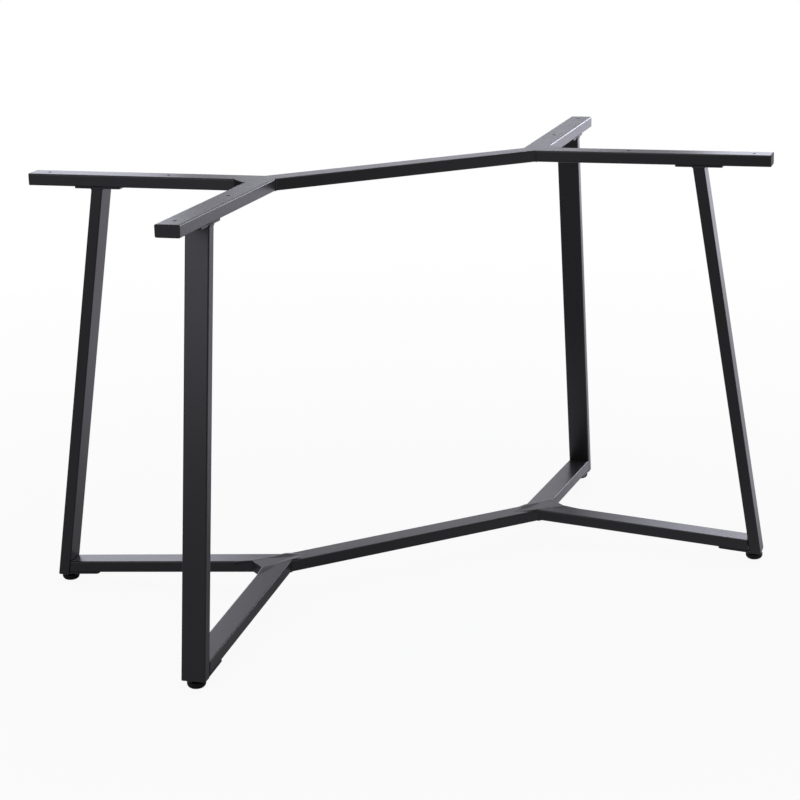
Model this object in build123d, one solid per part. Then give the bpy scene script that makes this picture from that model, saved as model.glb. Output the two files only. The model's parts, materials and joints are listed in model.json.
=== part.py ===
from build123d import *
import math
import os

# Knock-down table base of rectangular steel tube: a welded top frame and a welded bottom
# frame, each a rail with two arms at either end, joined by four splayed legs that stand on
# screw-in levelling glides. Millimetres, floor at z = 0, rails along X, hubs at x = +-HUB_X.

# Tube, the same for rails, arms and legs
TUBE_WIDTH = 40.0
TUBE_DEPTH = 20.0
TUBE_WALL = 2.0
TUBE_RADIUS = 2.5
TUBE_INNER_RADIUS = 0.8

# Layout of the two frames and the legs
HEIGHT = 730.0
HUB_X = 258.0
ARM_ANGLE = 45.0
TOP_ARM_REACH = 417.0
LEG_REACH_TOP = 293.0
LEG_REACH_FOOT = 405.5
ARM_FOOT_Z = 18.0
ARM_DROP = 4.6
LEG_FOOT_Z = 14.0
ARM_LEG_GAP = 1.2
LEG_FOOT_ROUND = 1.2

# Plates that join the legs to the frames
LEG_PLATE_LENGTH = 82.0
LEG_PLATE_WIDTH = 38.0
LEG_PLATE_THICK = 3.0
LEG_PLATE_CORNER = 4.0
LEG_PLATE_SCREW_X = 28.0
TAB_LENGTH = 55.0
TAB_WIDTH = 39.0
TAB_THICK = 3.0
TAB_CORNER = 4.0
TAB_SCREW_X = (16.0, 41.0)

# Plates let into tube ends
RAIL_END_THICK = 3.0
RAIL_END_ROUND = 1.2
FOOT_PLATE_THICK = 6.0

# Holes for the table top: one near the arm's outer end, one at a distance from the hub
TOP_HOLE_END_INSET = 31.0
TOP_HOLE_HUB_REACH = 170.0
TOP_HOLE_R = 3.25
ACCESS_HOLE_R = 6.0

# Countersunk M5 screws in countersunk rivet nuts
SCREW_R = 2.5
SCREW_HEAD_R = 4.7
SCREW_LENGTH = 12.0
SCREW_SOCKET_AF = 3.0
SCREW_SOCKET_DEPTH = 1.6
SCREW_CLEARANCE = 0.25
NUT_BODY_R = 3.5
NUT_HEAD_R = 4.5
NUT_BULGE_R = 4.8
NUT_BULGE_LENGTH = 2.5
NUT_LENGTH = 11.5
NUT_THREAD_CLEARANCE = 0.05
NUT_HOLE_CLEARANCE = 0.1

# Plugs in the arm ends
CAP_FLANGE = 2.0
CAP_ROUND = 0.8
CAP_DEPTH = 14.0
CAP_WALL = 1.8
CAP_SIDE_CLEARANCE = 0.1
CAP_RIB_COUNT = 2

# Levelling glides
GLIDE_INSET = 4.5
GLIDE_R = 15.0
GLIDE_RIM_Z = 7.5
GLIDE_RIM_LENGTH = 2.0
GLIDE_TOP_ROUND = 1.0
GLIDE_COLLAR_AF = 14.0
GLIDE_LEG_GAP = 0.2
STUD_R = 3.0
STUD_EMBED_Z = 4.0
STUD_ABOVE_PLATE = 14.0
STUD_CHAMFER = 0.8
STUD_CLEARANCE = 0.08

# Worked-out values
HALF_WIDTH = TUBE_WIDTH / 2
HALF_DEPTH = TUBE_DEPTH / 2
ANGLE = math.radians(ARM_ANGLE)
DROP = math.radians(ARM_DROP)
TOP_UNDERSIDE = HEIGHT - TUBE_DEPTH
LEG_TOP_Z = TOP_UNDERSIDE - LEG_PLATE_THICK
LEG_LEAN = math.atan2(LEG_REACH_FOOT - LEG_REACH_TOP, TOP_UNDERSIDE - ARM_FOOT_Z)
# The arm's outer corner meets the rail's square end, and its inner corner the rail's flank
RAIL_END_X = HUB_X + HALF_WIDTH * (1 + math.cos(ANGLE)) / math.sin(ANGLE)
# Reach, along the arm from the hub, of the middle of the seam on the rail's flank
SEAM_REACH = HALF_WIDTH / math.sin(ANGLE)
# A bottom arm's axis height at the hub, and the rail that is flush with the arm at that middle
ARM_AXIS_Z = ARM_FOOT_Z + HALF_DEPTH / math.cos(DROP) + LEG_REACH_FOOT * math.tan(DROP)
BOTTOM_RAIL_TOP = ARM_AXIS_Z + HALF_DEPTH / math.cos(DROP) - SEAM_REACH * math.tan(DROP)
BIG = 2000.0

# Working planes: along an arm from its hub, along a dropping arm, and along a leg
HUB = Plane(origin=(HUB_X, 0, 0), x_dir=(math.cos(ANGLE), math.sin(ANGLE), 0), z_dir=(0, 0, 1))
DROPPED = Plane(
    origin=(0, 0, ARM_AXIS_Z),
    x_dir=(math.cos(DROP), 0, -math.sin(DROP)),
    z_dir=(math.sin(DROP), 0, math.cos(DROP)),
)
LEG = Plane(
    origin=(LEG_REACH_FOOT, 0, ARM_FOOT_Z),
    x_dir=(math.cos(LEG_LEAN), 0, math.sin(LEG_LEAN)),
    z_dir=(-math.sin(LEG_LEAN), 0, math.cos(LEG_LEAN)),
)
QUADRANTS = {
    "front_left": (-1, -1),
    "front_right": (1, -1),
    "rear_left": (-1, 1),
    "rear_right": (1, 1),
}


def save(name, shape):
    """Write one node, as a single solid or as a group of separate solids."""
    solids = shape.solids()
    export_step(solids[0] if len(solids) == 1 else Compound(solids), f"parts/{name}.step")


def in_quadrant(shape, signs):
    """Mirror a piece of the rear right quadrant into the quadrant with these signs."""
    if signs[0] < 0:
        shape = mirror(shape, about=Plane.YZ)
    if signs[1] < 0:
        shape = mirror(shape, about=Plane.XZ)
    return shape


def save_each(name, shape):
    """Write a piece of the rear right quadrant four times, once for each quadrant."""
    for quadrant, signs in QUADRANTS.items():
        save(f"{name}_{quadrant}", in_quadrant(shape, signs))


def save_group(name, shapes):
    """Write a set of fasteners of one quadrant, repeated in all four, as one node."""
    solids = []
    for signs in QUADRANTS.values():
        for shape in shapes:
            solids += in_quadrant(shape, signs).solids()
    save(name, Compound(solids))


def block(x0, x1, y0, y1, z0, z1):
    """A box given by its limits."""
    size = Box(x1 - x0, y1 - y0, z1 - z0)
    return Pos((x0 + x1) / 2, (y0 + y1) / 2, (z0 + z1) / 2) * size


def bar(start, end, inset=0.0):
    """A solid along X with the tube's outline, wide face level, inset all round."""
    radius = max(TUBE_RADIUS - inset, TUBE_INNER_RADIUS)
    outline = RectangleRounded(TUBE_WIDTH - 2 * inset, TUBE_DEPTH - 2 * inset, radius)
    return Pos(start, 0, 0) * extrude(Plane.YZ * outline, end - start)


def tube(start, end):
    """A length of the tube along X, wide face level."""
    return bar(start, end) - bar(start, end, TUBE_WALL)


def drill(radius, z0, z1):
    """A cutter up Z between two heights."""
    return Pos(0, 0, (z0 + z1) / 2) * Cylinder(radius, z1 - z0)


def countersink(head_r, shank_r):
    """A 90 degree countersink that opens downwards at z = 0."""
    depth = head_r - shank_r
    return Pos(0, 0, depth / 2) * Cone(head_r, shank_r, depth)


def plate(length, width, thick, corner):
    """A flat plate from x = 0, its lower face at z = 0, with rounded corners."""
    outline = RectangleRounded(length, width, corner)
    return Pos(length / 2, 0, 0) * extrude(outline, thick)


def screw():
    """Countersunk screw driven upwards, its head flush with z = 0."""
    body = countersink(SCREW_HEAD_R, SCREW_R) + drill(SCREW_R, 0, SCREW_LENGTH)
    socket = RegularPolygon(SCREW_SOCKET_AF / 2, 6, major_radius=False)
    return body - extrude(socket, SCREW_SOCKET_DEPTH)


def screw_hole(thick):
    """Cutter for a countersunk screw through a plate with its lower face at z = 0."""
    shank = SCREW_R + SCREW_CLEARANCE
    head = SCREW_HEAD_R + SCREW_CLEARANCE
    return countersink(head, shank) + drill(shank, -1, thick + 1)


def rivet_nut():
    """Rivet nut set in a wall whose outer face is z = 0, bulged behind the wall."""
    body = countersink(NUT_HEAD_R, NUT_BODY_R) + drill(NUT_BODY_R, 0, NUT_LENGTH)
    bulge = drill(NUT_BULGE_R, TUBE_WALL, TUBE_WALL + NUT_BULGE_LENGTH)
    return body + bulge - drill(SCREW_R + NUT_THREAD_CLEARANCE, -1, NUT_LENGTH + 1)


def rivet_nut_hole():
    """Cutter for a rivet nut in the wall above z = 0."""
    body = NUT_BODY_R + NUT_HOLE_CLEARANCE
    head = NUT_HEAD_R + NUT_HOLE_CLEARANCE
    return countersink(head, body) + drill(body, -1, TUBE_WALL + 1)


def rail(top_z):
    """Rail between the hubs, square-cut at both ends and its end edges ground round."""
    outside = bar(-RAIL_END_X, RAIL_END_X)
    ends = outside.edges().group_by(Axis.X)
    outside = fillet(ends[0] + ends[-1], RAIL_END_ROUND)
    return Pos(0, 0, top_z - HALF_DEPTH) * (outside - bar(-RAIL_END_X, RAIL_END_X, TUBE_WALL))


def rail_end_plate(top_z):
    """Plate let into the rail's right end and ground flush."""
    plug = bar(RAIL_END_X - RAIL_END_THICK, RAIL_END_X, TUBE_WALL)
    return Pos(0, 0, top_z - HALF_DEPTH) * plug


def against_rail(arm, rail_top):
    """Cope an arm, placed at its hub, to the rail's flank and rounded edge."""
    envelope = Pos(0, 0, rail_top - HALF_DEPTH) * bar(-RAIL_END_X, RAIL_END_X)
    beyond = block(-BIG, BIG, HALF_WIDTH - TUBE_RADIUS, BIG, -BIG, BIG)
    coped = (arm & beyond) - envelope
    return coped.solids().sort_by(SortBy.VOLUME)[-1]


def leg_plate_screw_places():
    """Places of the screws in a leg's top plate, at the plate's lower face."""
    centre = LEG_REACH_FOOT - (LEG_TOP_Z - ARM_FOOT_Z) * math.tan(LEG_LEAN)
    return [Pos(centre + side * LEG_PLATE_SCREW_X, 0, LEG_TOP_Z) for side in (-1, 1)]


def tab_start():
    """Distance along the dropping arm, from the hub, to the tab's free end."""
    leg_face = LEG_REACH_FOOT - HALF_DEPTH / math.cos(LEG_LEAN)
    return leg_face / math.cos(DROP) - TAB_LENGTH


def tab_screw_places():
    """Places of the screws in a leg's tab, at the tab's lower face."""
    underside = -HALF_DEPTH - TAB_THICK
    return [DROPPED.location * Pos(tab_start() + x, 0, underside) for x in TAB_SCREW_X]


def top_arm():
    """Level arm with holes for the table top and for the leg's screws."""
    arm = Pos(0, 0, HEIGHT - HALF_DEPTH) * tube(0, TOP_ARM_REACH - CAP_FLANGE)
    for reach in (TOP_HOLE_HUB_REACH, TOP_ARM_REACH - TOP_HOLE_END_INSET):
        arm -= Pos(reach, 0, 0) * drill(TOP_HOLE_R, HEIGHT - HALF_DEPTH, HEIGHT + 1)
        arm -= Pos(reach, 0, 0) * drill(ACCESS_HOLE_R, TOP_UNDERSIDE - 1, HEIGHT - HALF_DEPTH)
    for place in leg_plate_screw_places():
        arm -= place * Pos(0, 0, LEG_PLATE_THICK) * rivet_nut_hole()
    return against_rail(HUB.location * arm, HEIGHT)


def top_arm_cap():
    """Moulded plug in the arm's outer end: a flange, a hollow skirt and cross ribs."""
    end = TOP_ARM_REACH
    flange = bar(end - CAP_FLANGE, end)
    flange = fillet(flange.edges().group_by(Axis.X)[-1], CAP_ROUND)
    fit = TUBE_WALL + CAP_SIDE_CLEARANCE
    skirt = bar(end - CAP_DEPTH, end - CAP_FLANGE, fit)
    skirt -= bar(end - CAP_DEPTH, end - CAP_FLANGE, fit + CAP_WALL)
    cap = flange + skirt
    hollow = TUBE_WIDTH - 2 * (fit + CAP_WALL)
    spacing = hollow / (CAP_RIB_COUNT + 1)
    rib_half = HALF_DEPTH - fit - CAP_WALL / 2
    for index in range(CAP_RIB_COUNT):
        y = -hollow / 2 + spacing * (index + 1)
        half = CAP_WALL / 2
        cap += block(end - CAP_DEPTH, end - CAP_FLANGE, y - half, y + half, -rib_half, rib_half)
    return HUB.location * Pos(0, 0, HEIGHT - HALF_DEPTH) * cap


def bottom_arm():
    """Dropping arm, cut to the leg's inner face and coped to the rail."""
    arm = DROPPED.location * tube(0, LEG_REACH_FOOT)
    arm -= LEG.location * block(-HALF_DEPTH - ARM_LEG_GAP, BIG, -BIG, BIG, -BIG, BIG)
    for place in tab_screw_places():
        arm -= place * Pos(0, 0, TAB_THICK) * rivet_nut_hole()
    return against_rail(HUB.location * arm, BOTTOM_RAIL_TOP)


def leg_bar(inset=0.0):
    """A solid along the leg with the tube's outline, wide face towards the hub."""
    upright = Rot(0, -90, 0) * bar(-TUBE_WIDTH, HEIGHT + TUBE_WIDTH, inset)
    return LEG.location * upright


def between_levels(shape, z0, z1):
    """The part of a shape between two level cuts."""
    return shape & block(-BIG, BIG, -BIG, BIG, z0, z1)


def leg():
    """Splayed leg, cut level at both ends, its lower edge ground round."""
    outside = between_levels(leg_bar(), LEG_FOOT_Z, LEG_TOP_Z)
    outside = fillet(outside.edges().group_by(Axis.Z)[0], LEG_FOOT_ROUND)
    return HUB.location * (outside - leg_bar(TUBE_WALL))


def leg_top_plate():
    """Plate on the leg's upper end, screwed up into the top arm."""
    pad = plate(LEG_PLATE_LENGTH, LEG_PLATE_WIDTH, LEG_PLATE_THICK, LEG_PLATE_CORNER)
    centre = LEG_REACH_FOOT - (LEG_TOP_Z - ARM_FOOT_Z) * math.tan(LEG_LEAN)
    pad = Pos(centre - LEG_PLATE_LENGTH / 2, 0, LEG_TOP_Z) * pad
    for place in leg_plate_screw_places():
        pad -= place * screw_hole(LEG_PLATE_THICK)
    return HUB.location * pad


def leg_tab():
    """Tab on the leg's inner face, under the bottom arm and screwed up into it."""
    pad = plate(TAB_LENGTH + TUBE_DEPTH, TAB_WIDTH, TAB_THICK, TAB_CORNER)
    pad = DROPPED.location * Pos(tab_start(), 0, -HALF_DEPTH - TAB_THICK) * pad
    pad -= LEG.location * block(-HALF_DEPTH, BIG, -BIG, BIG, -BIG, BIG)
    for place in tab_screw_places():
        pad -= place * screw_hole(TAB_THICK)
    return HUB.location * pad


def glide_place():
    """Place of a glide's axis on the floor."""
    sole = LEG_REACH_FOOT + (ARM_FOOT_Z - LEG_FOOT_Z) * math.tan(LEG_LEAN)
    return Pos(sole - GLIDE_INSET, 0, 0)


def leg_foot_plate():
    """Tapped plate let into the leg's lower end."""
    slab = between_levels(leg_bar(TUBE_WALL), LEG_FOOT_Z, LEG_FOOT_Z + FOOT_PLATE_THICK)
    slab -= glide_place() * drill(STUD_R + STUD_CLEARANCE, 0, LEG_FOOT_Z + 2 * FOOT_PLATE_THICK)
    return HUB.location * slab


def glide_pad():
    """Bowl-shaped foot with a hexagonal collar to turn it by."""
    rim_top = GLIDE_RIM_Z + GLIDE_RIM_LENGTH
    top = rim_top + GLIDE_TOP_ROUND
    with BuildPart() as pad:
        with BuildSketch(Plane.XZ):
            with BuildLine():
                Line((0, 0), (GLIDE_R - GLIDE_RIM_Z, 0))
                JernArc((GLIDE_R - GLIDE_RIM_Z, 0), (1, 0), GLIDE_RIM_Z, 90)
                Line((GLIDE_R, GLIDE_RIM_Z), (GLIDE_R, rim_top))
                JernArc((GLIDE_R, rim_top), (0, 1), GLIDE_TOP_ROUND, 90)
                Line((GLIDE_R - GLIDE_TOP_ROUND, top), (0, top))
                Line((0, top), (0, 0))
            make_face()
        revolve(axis=Axis.Z)
    collar_length = LEG_FOOT_Z - GLIDE_LEG_GAP - top
    collar = extrude(RegularPolygon(GLIDE_COLLAR_AF / 2, 6, major_radius=False), collar_length)
    shape = pad.part + Pos(0, 0, top) * collar
    shape -= drill(STUD_R, STUD_EMBED_Z, LEG_FOOT_Z)
    return HUB.location * glide_place() * shape


def glide_stud():
    """Threaded stud moulded into the foot."""
    tip = LEG_FOOT_Z + FOOT_PLATE_THICK + STUD_ABOVE_PLATE
    body = drill(STUD_R, STUD_EMBED_Z, tip)
    body = chamfer(body.edges().group_by(Axis.Z)[-1], STUD_CHAMFER)
    return HUB.location * glide_place() * body


os.makedirs("parts", exist_ok=True)

for frame, rail_top in (("top", HEIGHT), ("bottom", BOTTOM_RAIL_TOP)):
    save(f"{frame}_rail", rail(rail_top))
    end_plate = rail_end_plate(rail_top)
    save(f"{frame}_rail_end_plate_right", end_plate)
    save(f"{frame}_rail_end_plate_left", mirror(end_plate, about=Plane.YZ))

save_each("top_arm", top_arm())
save_each("top_arm_cap", top_arm_cap())
save_each("bottom_arm", bottom_arm())
save_each("leg", leg())
save_each("leg_top_plate", leg_top_plate())
save_each("leg_tab", leg_tab())
save_each("leg_foot_plate", leg_foot_plate())
save_each("glide_pad", glide_pad())
save_each("glide_stud", glide_stud())

plate_places = [HUB.location * place for place in leg_plate_screw_places()]
tab_places = [HUB.location * place for place in tab_screw_places()]
save_group("leg_plate_screws", [place * screw() for place in plate_places])
save_group("leg_tab_screws", [place * screw() for place in tab_places])
raise_nut = Pos(0, 0, LEG_PLATE_THICK)
save_group("top_arm_rivet_nuts", [place * raise_nut * rivet_nut() for place in plate_places])
raise_nut = Pos(0, 0, TAB_THICK)
save_group("bottom_arm_rivet_nuts", [place * raise_nut * rivet_nut() for place in tab_places])
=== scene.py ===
import json
import math

import bpy
from mathutils import Matrix, Vector


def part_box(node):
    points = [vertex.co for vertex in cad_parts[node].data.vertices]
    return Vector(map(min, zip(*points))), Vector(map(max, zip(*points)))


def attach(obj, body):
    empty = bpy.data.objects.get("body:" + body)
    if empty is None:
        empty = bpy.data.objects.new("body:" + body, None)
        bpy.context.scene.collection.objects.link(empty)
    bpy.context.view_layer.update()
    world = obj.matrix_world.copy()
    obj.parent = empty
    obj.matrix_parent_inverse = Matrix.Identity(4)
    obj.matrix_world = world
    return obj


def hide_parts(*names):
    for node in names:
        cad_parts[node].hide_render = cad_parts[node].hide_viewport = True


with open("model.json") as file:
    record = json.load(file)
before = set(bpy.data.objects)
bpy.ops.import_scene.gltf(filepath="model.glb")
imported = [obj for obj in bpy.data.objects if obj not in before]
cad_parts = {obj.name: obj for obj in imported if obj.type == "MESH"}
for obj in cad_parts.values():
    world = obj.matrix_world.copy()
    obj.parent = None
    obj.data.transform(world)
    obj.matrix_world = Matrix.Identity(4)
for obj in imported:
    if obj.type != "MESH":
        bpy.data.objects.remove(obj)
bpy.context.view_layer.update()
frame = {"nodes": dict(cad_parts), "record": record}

# Dressed table base: the frame's own solids with their finishes, weld metal at the hubs and on
# the leg plates, and cut threads on the glide studs. Metres, floor at z = 0, rails along X.

# Camera, from the photograph: angles in degrees, the point looked at and the distance in metres,
# lens and sensor in millimetres, shift in shares of the frame
VIEW_AZIMUTH = -29.064
VIEW_ELEVATION = 16.019
VIEW_ROLL = -1.226
VIEW_ASIDE = 0.03998
VIEW_HEIGHT = 0.2806
VIEW_DISTANCE = 3.599
VIEW_LENS = 92.292
VIEW_SENSOR = 36.0
VIEW_SHIFT = (-0.0415, 0.0213)

# Studio
WHITE = (1.0, 1.0, 1.0, 1.0)
FLOOR_SIZE = 60.0
FLOOR_COLOUR = (0.56, 0.56, 0.56, 1.0)
# The floor's own white, looked at: near the base and far from it
FLOOR_SEEN_DISTANCE = (0.6, 3.0)
FLOOR_WHITE_SEEN = (0.93, 1.0)
# The floor's own white, mirrored in the base: it grows along a direction, in degrees from +X
FLOOR_MIRRORED_DIRECTION = 28
FLOOR_MIRRORED_DISTANCE = (-0.1, 0.9)
FLOOR_WHITE_MIRRORED = (0.0, 0.83)
FLOOR_TINT_MIRRORED = (0.93, 0.89, 1.0, 1.0)
SKY_STRENGTH = 0.28
SKY_WHITE_MIRRORED = 0.08
PANEL_COLOUR = (0.85, 0.85, 1.0)
# Power of a panel with a brightness of 1, in watts for each square metre
PANEL_POWER = 4.0
# Soft panels: direction of the centre in degrees from +X, distance, width, lower and upper edge,
# brightness, where white is 1
PANELS = {
    "rear_left_panel": (88.5, 4.0, 2.1, 0.05, 2.7, 1.6),
    "rear_high_panel": (74, 4.4, 5.0, 2.7, 4.3, 0.5),
    "rear_middle_panel": (61, 9.0, 2.3, 1.75, 2.75, 1.85),
    "rear_right_panel": (29.5, 3.4, 1.85, 0.85, 2.4, 2.2),
    "rear_right_low_panel": (30, 3.4, 2.4, 0.02, 0.85, 0.7),
    "rear_right_strip": (28.5, 3.3, 0.52, 0.75, 1.45, 6.5),
    "left_panel": (203, 3.0, 1.8, 0.6, 2.2, 1.3),
}
TOP_PANEL_HEIGHT = 3.4
TOP_PANEL_SIZE = 3.0
TOP_PANEL_BRIGHTNESS = 0.9

# Finishes: how far tone and roughness change, speckles to each grain, and patches of gloss to each
# patch of tone
TONE_CHANGE = 0.1
GLOSS_CHANGE = 0.02
SPECKLE_FINENESS = 2.3
GLOSS_FINENESS = 3.1

# The frame's sizes that the weld metal follows
TUBE_RADIUS = 0.0025
ARM_ANGLE = math.radians(45)
ARM_DROP = math.radians(4.6)
TAB_WIDTH = 0.039
TAB_CORNER = 0.004
# Points of a leg this near its top belong to its upper end
LEG_END_DEPTH = 0.0005

# Weld beads, and how far their middles lie inside, below or above the edges that they follow
CORNER_BEAD_RADIUS = 0.0022
CORNER_BEAD_SUNK = 0.0008
UNDER_BEAD_RADIUS = 0.0016
UNDER_BEAD_SUNK = 0.0014
PLATE_BEAD_RADIUS = 0.0016
PLATE_BEAD_INSET = 0.3 * TUBE_RADIUS
PLATE_BEAD_DROP = 0.0002
TAB_BEAD_RISE = 0.0004
BEAD_SIDES = 14
# Ripples of a bead: its least size and their height are shares of its radius
RIPPLE_PITCH = 0.0026
RIPPLE_STEPS = 6.0
RIPPLE_HEIGHT = 0.22
BEAD_LEAST_SIZE = 0.8
LUMPS_PER_METRE = 240.0

# Ground welds: how far they reach on to the rail and the arm, and which share of the seam's length
# they take to fade out on the rail
RAIL_BLEND_REACH = 0.02
ARM_BLEND_REACH = 0.026
LEAST_BLEND_REACH = 0.0005
BLEND_FADE = 0.3
BLEND_ROWS = 45
BLEND_COLUMNS = 12
BLEND_PROUD = 0.00004
BLEND_SUNK = 0.003

# Threads of the glide studs: the crest's radius is a share of the depth
THREAD_PITCH = 0.001
THREAD_DEPTH = 0.0006
THREAD_STEPS = 40
THREAD_TURNS_OFF = 1.5
CREST_SHARE = 0.72
CREST_SIDES = 6

QUADRANTS = {
    "front_left": (-1, -1),
    "front_right": (1, -1),
    "rear_left": (-1, 1),
    "rear_right": (1, 1),
}

# Places of the hub and of the arm in the rear right quadrant, from the frame
rail_box = {level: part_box(f"{level}_rail") for level in ("top", "bottom")}
HALF_WIDTH = rail_box["top"][1].y
RAIL_END_X = rail_box["top"][1].x
INNER_CORNER_X = RAIL_END_X - 2 * HALF_WIDTH / math.sin(ARM_ANGLE)
HUB_X = RAIL_END_X - HALF_WIDTH * (1 + math.cos(ARM_ANGLE)) / math.sin(ARM_ANGLE)
HUB = Vector((HUB_X, 0, 0))
ALONG_ARM = Vector((math.cos(ARM_ANGLE), math.sin(ARM_ANGLE), 0))
ACROSS_ARM = Vector((-math.sin(ARM_ANGLE), math.cos(ARM_ANGLE), 0))
SEAM_REACH = HALF_WIDTH / math.sin(ARM_ANGLE)
ARM_STEP = HALF_WIDTH * math.tan(ARM_DROP)


def link(tree, source, target):
    """Join an output socket to an input socket."""
    tree.links.new(source, target)


def add_node(tree, kind, values=None, **settings):
    """A node with some settings and input values."""
    node = tree.nodes.new(kind)
    for name, value in settings.items():
        setattr(node, name, value)
    for name, value in (values or {}).items():
        node.inputs[name].default_value = value
    return node


def add_math(tree, operation, *terms):
    """The output of a math node on sockets and numbers."""
    node = add_node(tree, "ShaderNodeMath", operation=operation)
    for index, term in enumerate(terms):
        if isinstance(term, (int, float)):
            node.inputs[index].default_value = term
        else:
            link(tree, term, node.inputs[index])
    return node.outputs[0]


def new_material(name):
    """An empty node material and its output's surface socket."""
    material = bpy.data.materials.new(name)
    material.use_nodes = True
    material.node_tree.nodes.clear()
    output = material.node_tree.nodes.new("ShaderNodeOutputMaterial")
    return material, output.inputs["Surface"]


def new_group(name, kind, inputs, outputs):
    """A node group with its named sockets, and the group's inner input and output."""
    group = bpy.data.node_groups.new(name, kind)
    for socket, (socket_type, default) in inputs.items():
        made = group.interface.new_socket(socket, in_out="INPUT", socket_type=socket_type)
        if default is not None:
            made.default_value = default
    for socket, socket_type in outputs.items():
        group.interface.new_socket(socket, in_out="OUTPUT", socket_type=socket_type)
    return group, group.nodes.new("NodeGroupInput"), group.nodes.new("NodeGroupOutput")


def link_into_scene(name, mesh):
    """An object at the origin with this mesh."""
    piece = bpy.data.objects.new(name, mesh)
    bpy.context.scene.collection.objects.link(piece)
    return piece


# Finishes


def fine_grain_group():
    """Small even relief of a coat or a moulded skin, with its own speckle."""
    group, given, result = new_group(
        "fine_grain", "ShaderNodeTree",
        {"Grains per Metre": ("NodeSocketFloat", None)},
        {"Height": "NodeSocketFloat", "Speckle": "NodeSocketFloat"},
    )
    grains = given.outputs["Grains per Metre"]
    place = group.nodes.new("ShaderNodeTexCoord")
    peel = add_node(group, "ShaderNodeTexNoise", {"Detail": 2.0, "Roughness": 0.5})
    link(group, place.outputs["Object"], peel.inputs["Vector"])
    link(group, grains, peel.inputs["Scale"])
    speckle = add_node(group, "ShaderNodeTexNoise", {"Detail": 1.0})
    link(group, place.outputs["Object"], speckle.inputs["Vector"])
    link(group, add_math(group, "MULTIPLY", grains, SPECKLE_FINENESS), speckle.inputs["Scale"])
    link(group, peel.outputs["Fac"], result.inputs["Height"])
    link(group, speckle.outputs["Fac"], result.inputs["Speckle"])
    return group


def soft_mottle_group():
    """Broad, faint unevenness in tone and in gloss, from -1 to 1."""
    group, given, result = new_group(
        "soft_mottle", "ShaderNodeTree",
        {"Patches per Metre": ("NodeSocketFloat", None)},
        {"Tone": "NodeSocketFloat", "Gloss": "NodeSocketFloat"},
    )
    patches = given.outputs["Patches per Metre"]
    place = group.nodes.new("ShaderNodeTexCoord")
    for output, fineness in (("Tone", 1.0), ("Gloss", GLOSS_FINENESS)):
        cloud = add_node(group, "ShaderNodeTexNoise", {"Detail": 3.0, "Roughness": 0.55})
        link(group, place.outputs["Object"], cloud.inputs["Vector"])
        link(group, add_math(group, "MULTIPLY", patches, fineness), cloud.inputs["Scale"])
        signed = add_math(group, "MULTIPLY_ADD", cloud.outputs["Fac"], 2.0, -1.0)
        link(group, signed, result.inputs[output])
    return group


FINE_GRAIN = fine_grain_group()
SOFT_MOTTLE = soft_mottle_group()


def finish_material(name, colour, roughness, grains, relief, patches=9.0, metallic=0.0, specular=0.5):
    """A finish with mottled tone and gloss and a fine relief, in metres."""
    material, surface = new_material(name)
    tree = material.node_tree
    even = {"Metallic": metallic, "Specular IOR Level": specular}
    shader = add_node(tree, "ShaderNodeBsdfPrincipled", even)
    grain = add_node(tree, "ShaderNodeGroup", {"Grains per Metre": grains}, node_tree=FINE_GRAIN)
    mottle = add_node(tree, "ShaderNodeGroup", {"Patches per Metre": patches}, node_tree=SOFT_MOTTLE)
    tone = add_math(tree, "MULTIPLY_ADD", mottle.outputs["Tone"], TONE_CHANGE, 1.0)
    fleck = add_math(tree, "MULTIPLY_ADD", grain.outputs["Speckle"], TONE_CHANGE, 1.0 - TONE_CHANGE / 2)
    tint = add_node(tree, "ShaderNodeVectorMath", operation="SCALE")
    tint.inputs[0].default_value = colour
    link(tree, add_math(tree, "MULTIPLY", tone, fleck), tint.inputs["Scale"])
    link(tree, tint.outputs[0], shader.inputs["Base Color"])
    gloss = add_math(tree, "MULTIPLY_ADD", mottle.outputs["Gloss"], GLOSS_CHANGE, roughness)
    link(tree, gloss, shader.inputs["Roughness"])
    bump = add_node(tree, "ShaderNodeBump", {"Strength": 1.0, "Distance": relief})
    link(tree, grain.outputs["Height"], bump.inputs["Height"])
    link(tree, bump.outputs["Normal"], shader.inputs["Normal"])
    link(tree, shader.outputs[0], surface)
    return material


def base_finishes():
    """The finishes of the base's slots."""
    steel = {"grains": 2500, "relief": 0.00001, "patches": 60, "metallic": 1.0}
    return {
        "powder_coat": finish_material(
            "satin_black_coat", (0.0105, 0.01, 0.0105), roughness=0.32, grains=800, relief=0.000005,
        ),
        "cap_plastic": finish_material(
            "moulded_cap_plastic", (0.019, 0.018, 0.018),
            roughness=0.6, grains=1600, relief=0.00002, specular=0.4,
        ),
        "glide_plastic": finish_material(
            "moulded_glide_plastic", (0.004, 0.004, 0.004),
            roughness=0.5, grains=1300, relief=0.00002, specular=0.2,
        ),
        "stud_steel": finish_material("zinc_plated_stud", (0.6, 0.6, 0.61), roughness=0.33, **steel),
        "screw_steel": finish_material("blackened_screw", (0.045, 0.045, 0.047), roughness=0.38, **steel),
        "nut_steel": finish_material("zinc_plated_nut", (0.6, 0.59, 0.55), roughness=0.35, **steel),
    }


def dress_nodes(finishes):
    """Give each CAD node the finish of its slot."""
    for row in frame["record"]["subparts"]:
        mesh = frame["nodes"][row["node"]].data
        mesh.materials.clear()
        mesh.materials.append(finishes[row["material_slot"]])


# Weld beads


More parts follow.
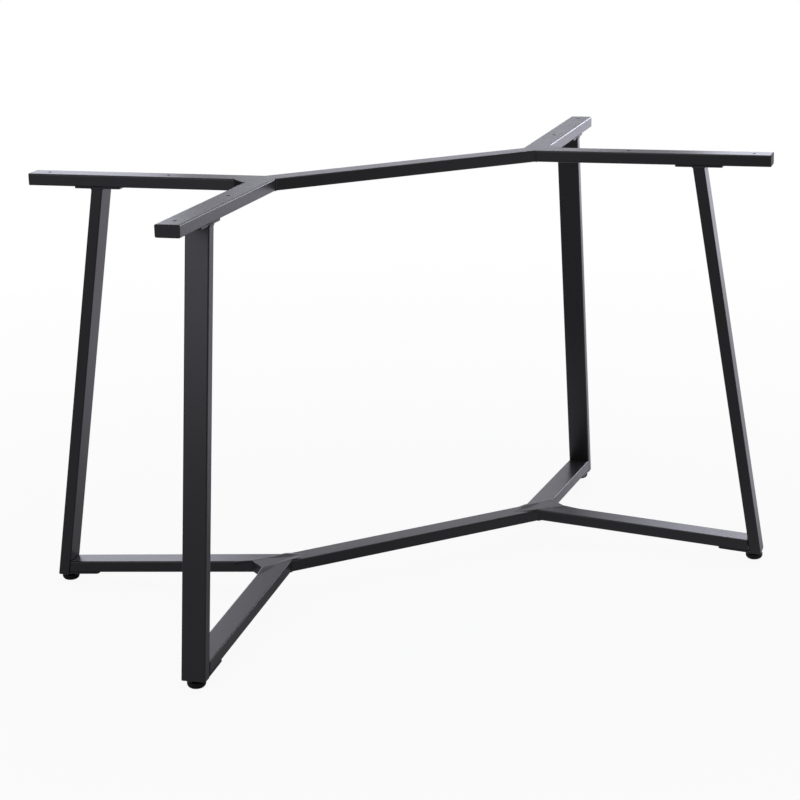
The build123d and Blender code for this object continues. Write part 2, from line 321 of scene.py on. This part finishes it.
def weld_bead_tree():
    """A rippled round bead along the edges of a mesh."""
    tree, given, result = new_group(
        "weld_bead", "GeometryNodeTree",
        {
            "Seams": ("NodeSocketGeometry", None),
            "Bead Radius": ("NodeSocketFloat", None),
            "Ripple Pitch": ("NodeSocketFloat", RIPPLE_PITCH),
            "Ripple Height": ("NodeSocketFloat", RIPPLE_HEIGHT),
            "Coat": ("NodeSocketMaterial", None),
        },
        {"Bead": "NodeSocketGeometry"},
    )
    pitch = given.outputs["Ripple Pitch"]
    path = tree.nodes.new("GeometryNodeMeshToCurve")
    link(tree, given.outputs["Seams"], path.inputs["Mesh"])
    steps = add_node(tree, "GeometryNodeResampleCurve", mode="LENGTH")
    link(tree, path.outputs["Curve"], steps.inputs["Curve"])
    link(tree, add_math(tree, "DIVIDE", pitch, RIPPLE_STEPS), steps.inputs["Length"])
    along = tree.nodes.new("GeometryNodeSplineParameter")
    turns = add_math(tree, "DIVIDE", along.outputs["Length"], pitch)
    wave = add_math(tree, "ABSOLUTE", add_math(tree, "SINE", add_math(tree, "MULTIPLY", turns, math.pi)))
    uneven = add_node(tree, "ShaderNodeTexNoise", {"Scale": LUMPS_PER_METRE, "Detail": 1.0})
    place = tree.nodes.new("GeometryNodeInputPosition")
    link(tree, place.outputs[0], uneven.inputs["Vector"])
    swell = add_math(tree, "ADD", wave, uneven.outputs["Fac"])
    size = add_math(tree, "MULTIPLY_ADD", swell, given.outputs["Ripple Height"], BEAD_LEAST_SIZE)
    ring = add_node(tree, "GeometryNodeCurvePrimitiveCircle", {"Resolution": BEAD_SIDES})
    link(tree, given.outputs["Bead Radius"], ring.inputs["Radius"])
    bead = add_node(tree, "GeometryNodeCurveToMesh", {"Fill Caps": True})
    link(tree, steps.outputs["Curve"], bead.inputs["Curve"])
    link(tree, ring.outputs["Curve"], bead.inputs["Profile Curve"])
    link(tree, size, bead.inputs["Scale"])
    smooth = tree.nodes.new("GeometryNodeSetShadeSmooth")
    link(tree, bead.outputs["Mesh"], smooth.inputs["Geometry"])
    solid = tree.nodes.new("GeometryNodeRealizeInstances")
    link(tree, smooth.outputs["Geometry"], solid.inputs["Geometry"])
    coat = tree.nodes.new("GeometryNodeSetMaterial")
    link(tree, solid.outputs["Geometry"], coat.inputs["Geometry"])
    link(tree, given.outputs["Coat"], coat.inputs["Material"])
    link(tree, coat.outputs["Geometry"], result.inputs["Bead"])
    return tree


def run_tree(name, mesh, tree, values):
    """The plain mesh that a geometry tree makes from a mesh, as an object."""
    piece = link_into_scene(name, mesh)
    modifier = piece.modifiers.new(name, "NODES")
    modifier.node_group = tree
    sockets = {item.name: item.identifier for item in tree.interface.items_tree if item.in_out == "INPUT"}
    for socket, value in values.items():
        modifier[sockets[socket]] = value
    bpy.context.view_layer.update()
    evaluated = piece.evaluated_get(bpy.context.evaluated_depsgraph_get())
    made = bpy.data.meshes.new_from_object(evaluated)
    piece.modifiers.remove(modifier)
    piece.data = made
    made.name = name
    return piece


def seam_mesh(name, runs):
    """A mesh of edges from runs of points."""
    points = []
    edges = []
    for run in runs:
        first = len(points)
        points += run
        edges += [(first + step, first + step + 1) for step in range(len(run) - 1)]
    mesh = bpy.data.meshes.new(name)
    mesh.from_pydata(points, edges, [])
    return mesh


def in_quadrant(point, signs):
    """Mirror a point of the rear right quadrant into the quadrant with these signs."""
    return Vector((point[0] * signs[0], point[1] * signs[1], point[2]))


def beside_arm(reach, side, height):
    """A point by its reach from the hub along the rear right arm, its side of the arm and its height."""
    point = HUB + ALONG_ARM * reach + ACROSS_ARM * side
    return (point.x, point.y, height)


def hub_corner_runs(level, sunk):
    """Upright corner seams of each arm on the rail of one level."""
    low, high = rail_box[level]
    heights = (low.z + TUBE_RADIUS, high.z - TUBE_RADIUS)
    runs = []
    for signs in QUADRANTS.values():
        for x, y in ((INNER_CORNER_X, HALF_WIDTH - sunk), (RAIL_END_X - sunk, HALF_WIDTH)):
            runs.append([in_quadrant((x, y, z), signs) for z in heights])
    return runs


def hub_under_runs():
    """Seams of each arm under its rail, which follow the lower of the two."""
    middle_x = (INNER_CORNER_X + RAIL_END_X) / 2
    runs = []
    for level, box in rail_box.items():
        seam_z = box[0].z + UNDER_BEAD_SUNK
        drop = ARM_STEP if level == "bottom" else 0.0
        places = ((INNER_CORNER_X, 0.0), (middle_x, 0.0), (RAIL_END_X - TUBE_RADIUS, drop))
        for signs in QUADRANTS.values():
            run = [(x, HALF_WIDTH, seam_z - fall) for x, fall in places]
            runs.append([in_quadrant(point, signs) for point in run])
    return runs


def leg_plate_runs():
    """Seams round the upper end of each leg and across the foot of each tab."""
    leg_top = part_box("leg_rear_right")[1].z
    points = [vertex.co for vertex in frame["nodes"]["leg_rear_right"].data.vertices]
    reaches = [(point - HUB).dot(ALONG_ARM) for point in points if point.z > leg_top - LEG_END_DEPTH]
    near = min(reaches) + PLATE_BEAD_INSET
    far = max(reaches) - PLATE_BEAD_INSET
    half = HALF_WIDTH - PLATE_BEAD_INSET
    leg_seam = [(near, -half), (near, half), (far, half), (far, -half), (near, -half)]
    tab_low, tab_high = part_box("leg_tab_rear_right")
    tab_reach = (tab_high.x - HUB_X - TAB_WIDTH / 2 * math.sin(ARM_ANGLE)) / math.cos(ARM_ANGLE)
    tab_half = TAB_WIDTH / 2 - TAB_CORNER
    tab_seam = [(tab_reach, -tab_half), (tab_reach, tab_half)]
    seams = ((leg_seam, leg_top - PLATE_BEAD_DROP), (tab_seam, tab_low.z + TAB_BEAD_RISE))
    runs = []
    for signs in QUADRANTS.values():
        for seam, height in seams:
            runs.append([in_quadrant(beside_arm(reach, side, height), signs) for reach, side in seam])
    return runs


# Ground welds of the bottom hubs


def smooth_rise(t):
    """A rise from 0 to 1 that starts and ends level."""
    return t * t * (3 - 2 * t)


def arm_top(x, y):
    """Height of a dropping arm's upper face in the rear right quadrant."""
    reach = (x - HUB_X) * math.cos(ARM_ANGLE) + y * math.sin(ARM_ANGLE)
    return rail_box["bottom"][1].z - math.tan(ARM_DROP) * (reach - SEAM_REACH)


def edge_drop(inset):
    """How far a tube's rounded edge lies below its face, at a distance in from the tube's side."""
    short = max(0.0, TUBE_RADIUS - inset)
    return TUBE_RADIUS - math.sqrt(TUBE_RADIUS ** 2 - short ** 2)


def blend_section(share):
    """Cross-section of the ground weld between rail and dropping arm, at a share of the seam.

    Where the arm stands above the rail it runs down on to the rail, and past the middle of the
    seam it runs from the rail down on to the arm. Before the inner corner, where the share is
    below zero, it fades out on the rail.
    """
    edge = HALF_WIDTH - TUBE_RADIUS
    past_middle = max(-1.0, 2 * share - 1)
    start = edge - LEAST_BLEND_REACH - RAIL_BLEND_REACH * math.sqrt(max(0.0, -past_middle))
    end = edge + LEAST_BLEND_REACH + ARM_BLEND_REACH * math.sqrt(max(0.0, past_middle))
    width = end - start
    seam_x = INNER_CORNER_X + share * (RAIL_END_X - INNER_CORNER_X)
    lead = seam_x - HALF_WIDTH
    rail_z = rail_box["bottom"][1].z
    strength = smooth_rise(1 + min(0.0, share) / BLEND_FADE)
    fall = strength * (arm_top(lead + end, end) - rail_z)
    end_slope = -strength * math.tan(ARM_DROP) * (math.cos(ARM_ANGLE) + math.sin(ARM_ANGLE)) * width
    drop = edge_drop((1 - share) * 2 * HALF_WIDTH)
    section = []
    for step in range(BLEND_COLUMNS + 1):
        t = step / BLEND_COLUMNS
        y = start + width * t
        rise = fall * smooth_rise(t) + end_slope * t * t * (t - 1)
        section.append((lead + y, y, rail_z + rise - drop * t + BLEND_PROUD))
    section.append((lead + end, end, rail_z + fall - drop - BLEND_SUNK))
    section.append((lead + start, start, rail_z - BLEND_SUNK))
    return section


def weld_blends(coat):
    """Ground welds that carry the bottom rail's upper face down on to the dropping arms."""
    sections = []
    for row in range(BLEND_ROWS + 1):
        share = -BLEND_FADE + (1 + BLEND_FADE) * row / BLEND_ROWS
        sections.append(blend_section(min(1.0, share)))
    count = len(sections[0])
    last_row = BLEND_ROWS * count
    points = []
    faces = []
    smooth = []
    for signs in QUADRANTS.values():
        first = len(points)
        points += [in_quadrant(point, signs) for section in sections for point in section]
        made = [list(range(count))[::-1], list(range(last_row, last_row + count))]
        smooth += [False, False]
        for row in range(BLEND_ROWS):
            here = row * count
            ahead = here + count
            for i in range(count):
                j = (i + 1) % count
                made.append([here + i, here + j, ahead + j, ahead + i])
                smooth.append(i < BLEND_COLUMNS)
        turned = signs[0] * signs[1] < 0
        for face in made:
            placed = [first + index for index in face]
            faces.append(placed if turned else placed[::-1])
    mesh = bpy.data.meshes.new("hub_weld_blends")
    mesh.from_pydata(points, [], faces)
    mesh.polygons.foreach_set("use_smooth", smooth)
    mesh.materials.append(coat)
    return link_into_scene("hub_weld_blends", mesh)


def weld_metal(coat):
    """All the weld metal, on the frame."""
    tree = weld_bead_tree()
    beads = {
        "top_hub_corner_beads": (hub_corner_runs("top", CORNER_BEAD_SUNK), CORNER_BEAD_RADIUS),
        "bottom_hub_corner_beads": (hub_corner_runs("bottom", UNDER_BEAD_SUNK), UNDER_BEAD_RADIUS),
        "hub_under_beads": (hub_under_runs(), UNDER_BEAD_RADIUS),
        "leg_plate_beads": (leg_plate_runs(), PLATE_BEAD_RADIUS),
    }
    pieces = [weld_blends(coat)]
    for name, (runs, radius) in beads.items():
        pieces.append(run_tree(name, seam_mesh(name, runs), tree, {"Bead Radius": radius, "Coat": coat}))
    for piece in pieces:
        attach(piece, "frame")


# Glide studs


def threaded_stud_tree():
    """A stud with a cut thread, standing on a point."""
    tree, given, result = new_group(
        "threaded_stud", "GeometryNodeTree",
        {
            "Foot": ("NodeSocketVector", None),
            "Stud Radius": ("NodeSocketFloat", None),
            "Stud Length": ("NodeSocketFloat", None),
            "Thread Pitch": ("NodeSocketFloat", THREAD_PITCH),
            "Thread Depth": ("NodeSocketFloat", THREAD_DEPTH),
            "Plating": ("NodeSocketMaterial", None),
        },
        {"Stud": "NodeSocketGeometry"},
    )
    radius = given.outputs["Stud Radius"]
    length = given.outputs["Stud Length"]
    pitch = given.outputs["Thread Pitch"]
    depth = given.outputs["Thread Depth"]
    core = add_node(tree, "GeometryNodeMeshCylinder", {"Vertices": THREAD_STEPS})
    link(tree, add_math(tree, "SUBTRACT", radius, depth), core.inputs["Radius"])
    link(tree, length, core.inputs["Depth"])
    raised = tree.nodes.new("GeometryNodeTransform")
    middle = tree.nodes.new("ShaderNodeCombineXYZ")
    link(tree, add_math(tree, "MULTIPLY", length, 0.5), middle.inputs["Z"])
    link(tree, core.outputs["Mesh"], raised.inputs["Geometry"])
    link(tree, middle.outputs[0], raised.inputs["Translation"])
    helix = add_node(tree, "GeometryNodeCurveSpiral", {"Resolution": THREAD_STEPS})
    run = add_math(tree, "MULTIPLY_ADD", pitch, -THREAD_TURNS_OFF, length)
    link(tree, add_math(tree, "DIVIDE", run, pitch), helix.inputs["Rotations"])
    ridge = add_math(tree, "MULTIPLY_ADD", depth, -CREST_SHARE, radius)
    link(tree, ridge, helix.inputs["Start Radius"])
    link(tree, ridge, helix.inputs["End Radius"])
    link(tree, run, helix.inputs["Height"])
    crest = add_node(tree, "GeometryNodeCurvePrimitiveCircle", {"Resolution": CREST_SIDES})
    link(tree, add_math(tree, "MULTIPLY", depth, CREST_SHARE), crest.inputs["Radius"])
    thread = add_node(tree, "GeometryNodeCurveToMesh", {"Fill Caps": True})
    link(tree, helix.outputs["Curve"], thread.inputs["Curve"])
    link(tree, crest.outputs["Curve"], thread.inputs["Profile Curve"])
    lifted = tree.nodes.new("GeometryNodeTransform")
    start = tree.nodes.new("ShaderNodeCombineXYZ")
    link(tree, pitch, start.inputs["Z"])
    link(tree, thread.outputs["Mesh"], lifted.inputs["Geometry"])
    link(tree, start.outputs[0], lifted.inputs["Translation"])
    both = tree.nodes.new("GeometryNodeJoinGeometry")
    link(tree, raised.outputs["Geometry"], both.inputs["Geometry"])
    link(tree, lifted.outputs["Geometry"], both.inputs["Geometry"])
    placed = tree.nodes.new("GeometryNodeTransform")
    link(tree, both.outputs["Geometry"], placed.inputs["Geometry"])
    link(tree, given.outputs["Foot"], placed.inputs["Translation"])
    solid = tree.nodes.new("GeometryNodeRealizeInstances")
    link(tree, placed.outputs["Geometry"], solid.inputs["Geometry"])
    plated = tree.nodes.new("GeometryNodeSetMaterial")
    link(tree, solid.outputs["Geometry"], plated.inputs["Geometry"])
    link(tree, given.outputs["Plating"], plated.inputs["Material"])
    link(tree, plated.outputs["Geometry"], result.inputs["Stud"])
    return tree


def threaded_studs(plating):
    """A threaded stud in place of each glide's plain one."""
    tree = threaded_stud_tree()
    for quadrant in QUADRANTS:
        node = f"glide_stud_{quadrant}"
        low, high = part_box(node)
        centre = (low + high) / 2
        values = {
            "Foot": (centre.x, centre.y, low.z),
            "Stud Radius": (high.x - low.x) / 2,
            "Stud Length": high.z - low.z,
            "Plating": plating,
        }
        name = f"threaded_stud_{quadrant}"
        stud = run_tree(name, bpy.data.meshes.new(name), tree, values)
        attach(stud, f"glide_{quadrant}")
        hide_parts(node)


# Studio


def white_share(tree, seen, mirrored):
    """How much of the studio's own white shows: looked at, and mirrored or seen through something."""
    path = tree.nodes.new("ShaderNodeLightPath")
    share = add_math(tree, "MULTIPLY", path.outputs["Is Camera Ray"], seen)
    for ray in ("Is Glossy Ray", "Is Transmission Ray"):
        share = add_math(tree, "MULTIPLY_ADD", path.outputs[ray], mirrored, share)
    return share


def floor_measure(tree, operation):
    """A node that measures a place on the floor, from its middle."""
    place = tree.nodes.new("ShaderNodeTexCoord")
    measure = add_node(tree, "ShaderNodeVectorMath", operation=operation)
    link(tree, place.outputs["Object"], measure.inputs[0])
    return measure


def floor_ramp(tree, measure, distances, limits):
    """A value that goes from one limit to the other between two distances."""
    ramp = add_node(tree, "ShaderNodeMapRange")
    ramp.inputs["From Min"].default_value, ramp.inputs["From Max"].default_value = distances
    ramp.inputs["To Min"].default_value, ramp.inputs["To Max"].default_value = limits
    link(tree, measure.outputs["Value"], ramp.inputs["Value"])
    return ramp.outputs["Result"]


def floor_material():
    """Pale floor that reads as white and keeps a soft shadow."""
    material, surface = new_material("pale_floor")
    tree = material.node_tree
    paint = add_node(tree, "ShaderNodeBsdfDiffuse", {"Color": FLOOR_COLOUR})
    white = add_node(tree, "ShaderNodeEmission", {"Strength": 1.0})
    path = tree.nodes.new("ShaderNodeLightPath")
    tint = add_node(tree, "ShaderNodeMixRGB", {"Color1": FLOOR_TINT_MIRRORED, "Color2": WHITE})
    link(tree, path.outputs["Is Camera Ray"], tint.inputs["Fac"])
    link(tree, tint.outputs["Color"], white.inputs["Color"])
    outwards = floor_measure(tree, "LENGTH")
    seen = floor_ramp(tree, outwards, FLOOR_SEEN_DISTANCE, FLOOR_WHITE_SEEN)
    aside = floor_measure(tree, "DOT_PRODUCT")
    angle = math.radians(FLOOR_MIRRORED_DIRECTION)
    aside.inputs[1].default_value = (math.cos(angle), math.sin(angle), 0)
    mirrored = floor_ramp(tree, aside, FLOOR_MIRRORED_DISTANCE, FLOOR_WHITE_MIRRORED)
    blend = tree.nodes.new("ShaderNodeMixShader")
    link(tree, white_share(tree, seen, mirrored), blend.inputs["Fac"])
    link(tree, paint.outputs[0], blend.inputs[1])
    link(tree, white.outputs[0], blend.inputs[2])
    link(tree, blend.outputs[0], surface)
    return material


def studio_floor():
    """A wide flat floor under the base."""
    half = FLOOR_SIZE / 2
    corners = [(-half, -half, 0), (half, -half, 0), (half, half, 0), (-half, half, 0)]
    mesh = bpy.data.meshes.new("studio_floor")
    mesh.from_pydata(corners, [], [(0, 1, 2, 3)])
    mesh.materials.append(floor_material())
    link_into_scene("studio_floor", mesh)


def studio_world():
    """White where it is looked at, and a level grey as light."""
    world = bpy.data.worlds.new("studio")
    bpy.context.scene.world = world
    world.use_nodes = True
    tree = world.node_tree
    tree.nodes.clear()
    output = tree.nodes.new("ShaderNodeOutputWorld")
    light = add_node(tree, "ShaderNodeBackground", {"Color": WHITE, "Strength": SKY_STRENGTH})
    white = add_node(tree, "ShaderNodeBackground", {"Color": WHITE, "Strength": 1.0})
    blend = tree.nodes.new("ShaderNodeMixShader")
    link(tree, white_share(tree, 1.0, SKY_WHITE_MIRRORED), blend.inputs["Fac"])
    link(tree, light.outputs[0], blend.inputs[1])
    link(tree, white.outputs[0], blend.inputs[2])
    link(tree, blend.outputs[0], output.inputs["Surface"])


def soft_panel(name, centre, facing, width, height, brightness):
    """A soft panel, unseen by the camera. Its power gives the brightness over its area."""
    light = bpy.data.lights.new(name, "AREA")
    light.shape = "RECTANGLE"
    light.size = width
    light.size_y = height
    light.energy = PANEL_POWER * brightness * width * height
    light.color = PANEL_COLOUR
    panel = bpy.data.objects.new(name, light)
    bpy.context.scene.collection.objects.link(panel)
    turn = (-facing).to_track_quat("Z", "Y").to_matrix().to_4x4()
    panel.matrix_world = Matrix.Translation(centre) @ turn
    panel.visible_camera = False


def studio_panels():
    """Upright panels round the base, and one above it."""
    for name, (degrees, distance, width, low, high, brightness) in PANELS.items():
        angle = math.radians(degrees)
        away = Vector((math.cos(angle), math.sin(angle), 0))
        centre = away * distance + Vector((0, 0, (low + high) / 2))
        soft_panel(name, centre, -away, width, high - low, brightness)
    above = Vector((0, 0, TOP_PANEL_HEIGHT))
    down = Vector((0, 0, -1))
    soft_panel("top_panel", above, down, TOP_PANEL_SIZE, TOP_PANEL_SIZE, TOP_PANEL_BRIGHTNESS)


def studio_camera():
    """Camera at the photograph's viewing angle."""
    azimuth, elevation, roll = (math.radians(a) for a in (VIEW_AZIMUTH, VIEW_ELEVATION, VIEW_ROLL))
    back = Vector((
        math.sin(azimuth) * math.cos(elevation),
        -math.cos(azimuth) * math.cos(elevation),
        math.sin(elevation),
    ))
    level_right = Vector((math.cos(azimuth), math.sin(azimuth), 0))
    level_up = back.cross(level_right)
    right = math.cos(roll) * level_right + math.sin(roll) * level_up
    up = back.cross(right)
    eye = VIEW_ASIDE * level_right + Vector((0, 0, VIEW_HEIGHT)) + VIEW_DISTANCE * back
    data = bpy.data.cameras.new("photo_view")
    data.sensor_width = VIEW_SENSOR
    data.lens = VIEW_LENS
    data.shift_x, data.shift_y = VIEW_SHIFT
    camera = bpy.data.objects.new("photo_view", data)
    bpy.context.scene.collection.objects.link(camera)
    turn = Matrix((right, up, back)).transposed().to_4x4()
    camera.matrix_world = Matrix.Translation(eye) @ turn
    bpy.context.scene.camera = camera


finishes = base_finishes()
dress_nodes(finishes)
weld_metal(finishes["powder_coat"])
threaded_studs(finishes["stud_steel"])

studio_floor()
studio_world()
studio_panels()
studio_camera()
bpy.context.scene.view_settings.view_transform = "Standard"
